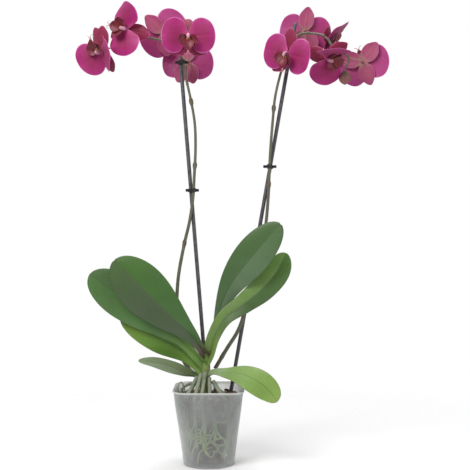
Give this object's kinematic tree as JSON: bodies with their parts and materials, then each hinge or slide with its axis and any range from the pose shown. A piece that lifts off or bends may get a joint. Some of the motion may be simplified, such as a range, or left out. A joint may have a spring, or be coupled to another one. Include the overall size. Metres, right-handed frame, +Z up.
{
  "type": "potted orchid",
  "caption": "Moth orchid in a clear tapered pot of bark, with broad leaves, aerial roots and arched flower stems tied to support stakes.",
  "frame": {"origin": "centre of the pot's flat base", "axes": "+Z up along the pot, +X to the right as seen from the front, +Y to the back"},
  "size_m": [0.5281, 0.1379, 0.7781],
  "materials": {
    "pot_plastic": "clear frosted thin polypropylene",
    "bark": "rough dark bark chips",
    "crown": "smooth pale green stem",
    "leaf": "waxy green leaf with a pale sunk midrib",
    "root": "silvery grey-green aerial root",
    "stake": "dark grey coated rod",
    "spike": "grey-green stem with nodes",
    "clip": "black moulded plastic",
    "sepal": "veined magenta sepal, duller on the back",
    "petal": "velvety magenta petal with a pale rim",
    "lip": "dark wine red lip, pale column",
    "bud": "brownish red bud"
  },
  "bodies": {
    "root": {"pot": "pot_plastic", "bark": "bark", "crown": "crown", "leaf_1": "leaf", "leaf_2": "leaf", "leaf_3": "leaf", "leaf_4": "leaf", "leaf_5": "leaf", "leaf_6": "leaf", "leaf_7": "leaf", "root_1": "root", "root_2": "root", "root_3": "root", "root_4": "root", "root_5": "root", "root_6": "root", "root_7": "root", "root_8": "root", "stake_left": "stake", "stake_right": "stake", "spike_left": "spike", "spike_right": "spike", "clip_left_low": "clip", "clip_left_top": "clip", "clip_right": "clip", "flower_left_1_sepals": "sepal", "flower_left_1_petals": "petal", "flower_left_1_lip": "lip", "flower_left_2_sepals": "sepal", "flower_left_2_petals": "petal", "flower_left_2_lip": "lip", "flower_left_3_sepals": "sepal", "flower_left_3_petals": "petal", "flower_left_3_lip": "lip", "flower_left_4_sepals": "sepal", "flower_left_4_petals": "petal", "flower_left_4_lip": "lip", "flower_left_5_sepals": "sepal", "flower_left_5_petals": "petal", "flower_left_5_lip": "lip", "flower_right_1_sepals": "sepal", "flower_right_1_petals": "petal", "flower_right_1_lip": "lip", "flower_right_2_sepals": "sepal", "flower_right_2_petals": "petal", "flower_right_2_lip": "lip", "flower_right_3_sepals": "sepal", "flower_right_3_petals": "petal", "flower_right_3_lip": "lip", "flower_right_4_sepals": "sepal", "flower_right_4_petals": "petal", "flower_right_4_lip": "lip", "flower_right_5_sepals": "sepal", "flower_right_5_petals": "petal", "flower_right_5_lip": "lip", "bud": "bud"}
  },
  "joints": []
}
